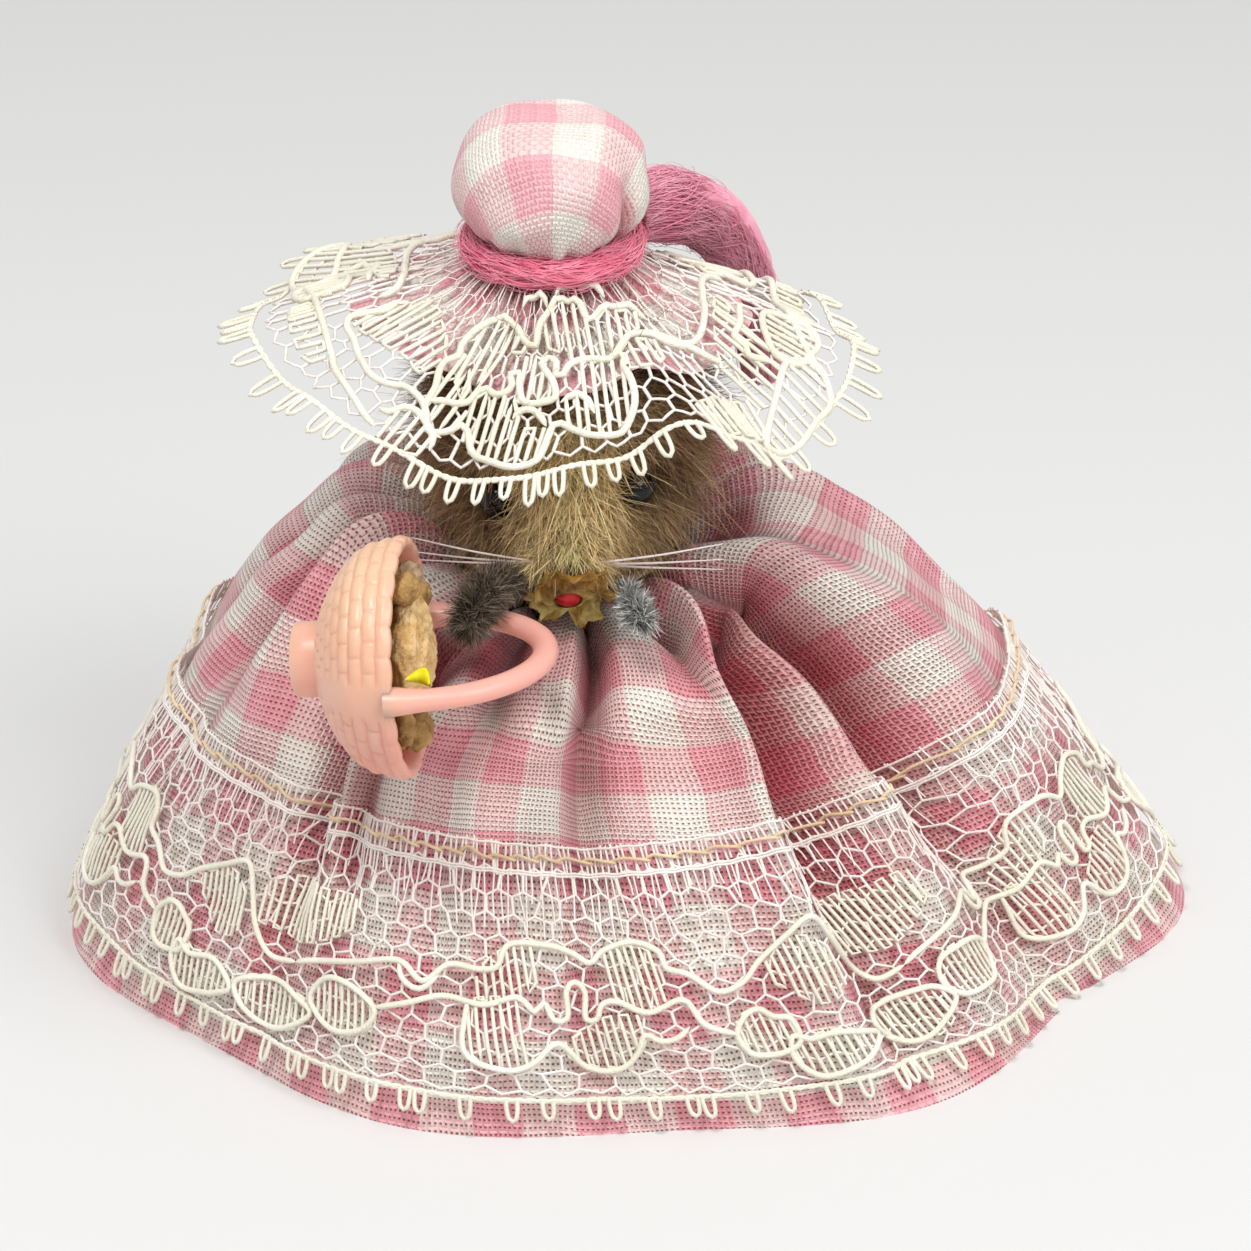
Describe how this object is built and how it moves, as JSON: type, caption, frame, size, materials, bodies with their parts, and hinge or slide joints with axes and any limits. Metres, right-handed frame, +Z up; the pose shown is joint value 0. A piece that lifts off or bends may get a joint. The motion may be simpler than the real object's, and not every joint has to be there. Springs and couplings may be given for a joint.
{
  "type": "mouse doll",
  "caption": "Small mouse doll in a gathered check dress with a lace hem, a mob cap with a lace ruffle, and a toy basket hooked over one bendable arm.",
  "frame": {"origin": "centre of the underside of the felt pad that the doll stands on", "axes": "+Z up, the doll looks along -Y, +X to its own left (the viewer's right)"},
  "size_m": [0.0992, 0.088, 0.0741],
  "materials": {
    "check_cloth": "woven, matte",
    "cream_lace": "knotted thread, matte",
    "sewing_thread": "twisted thread",
    "felt": "felted, matte",
    "plush": "stuffed cloth",
    "grey_fur": "fur",
    "black_glass": "polished bead",
    "red_glass": "polished bead",
    "hide": "raw edge",
    "nylon": "filament",
    "wool": "unspun wool",
    "stuffing": "loose fibre",
    "chenille": "pile",
    "wire": "twisted wire",
    "pink_plastic": "moulded, translucent",
    "cork": "rough, dry",
    "dried_leaf": "rough, dry",
    "yellow": "matte"
  },
  "bodies": {
    "doll": {"skirt": "check_cloth", "skirt_lace": "cream_lace", "lace_stitching": "sewing_thread", "head": "grey_fur", "left_eye": "black_glass", "right_eye": "black_glass", "nose": "red_glass", "whisker_upper": "nylon", "whisker_middle": "nylon", "whisker_lower": "nylon", "hide_edge": "hide", "base_pad": "felt", "stuffed_body": "plush", "arm_wire_middle": "wire", "gather_thread": "sewing_thread", "brim_lace": "cream_lace", "mob_cap": "check_cloth", "cap_stuffing": "stuffing", "yarn_tie": "wool", "yarn_knot": "wool", "yarn_tail": "wool"},
    "left_arm": {"left_arm_wire": "wire", "left_arm_pile": "chenille"},
    "right_arm": {"right_arm_wire": "wire", "right_arm_pile": "chenille"},
    "basket": {"basket": "pink_plastic", "basket_bed": "dried_leaf", "basket_lump": "cork", "yellow_petal": "yellow"}
  },
  "joints": [
    {"name": "left_arm_bend", "type": "hinge", "parent": "doll", "child": "left_arm", "pos_m": [-0.0062, -0.0206, 0.0378], "axis": [-1, 0, 0], "range_deg": [0, 6]},
    {"name": "right_arm_bend", "type": "hinge", "parent": "doll", "child": "right_arm", "pos_m": [0.0014, -0.0206, 0.0382], "axis": [-0.4, 0, 0.9165], "range_deg": [0, 28]},
    {"name": "basket_swing", "type": "hinge", "parent": "left_arm", "child": "basket", "pos_m": [-0.009, -0.0284, 0.0411], "axis": [0.3505, 0.9312, 0.1001], "range_deg": [0, 22]}
  ]
}
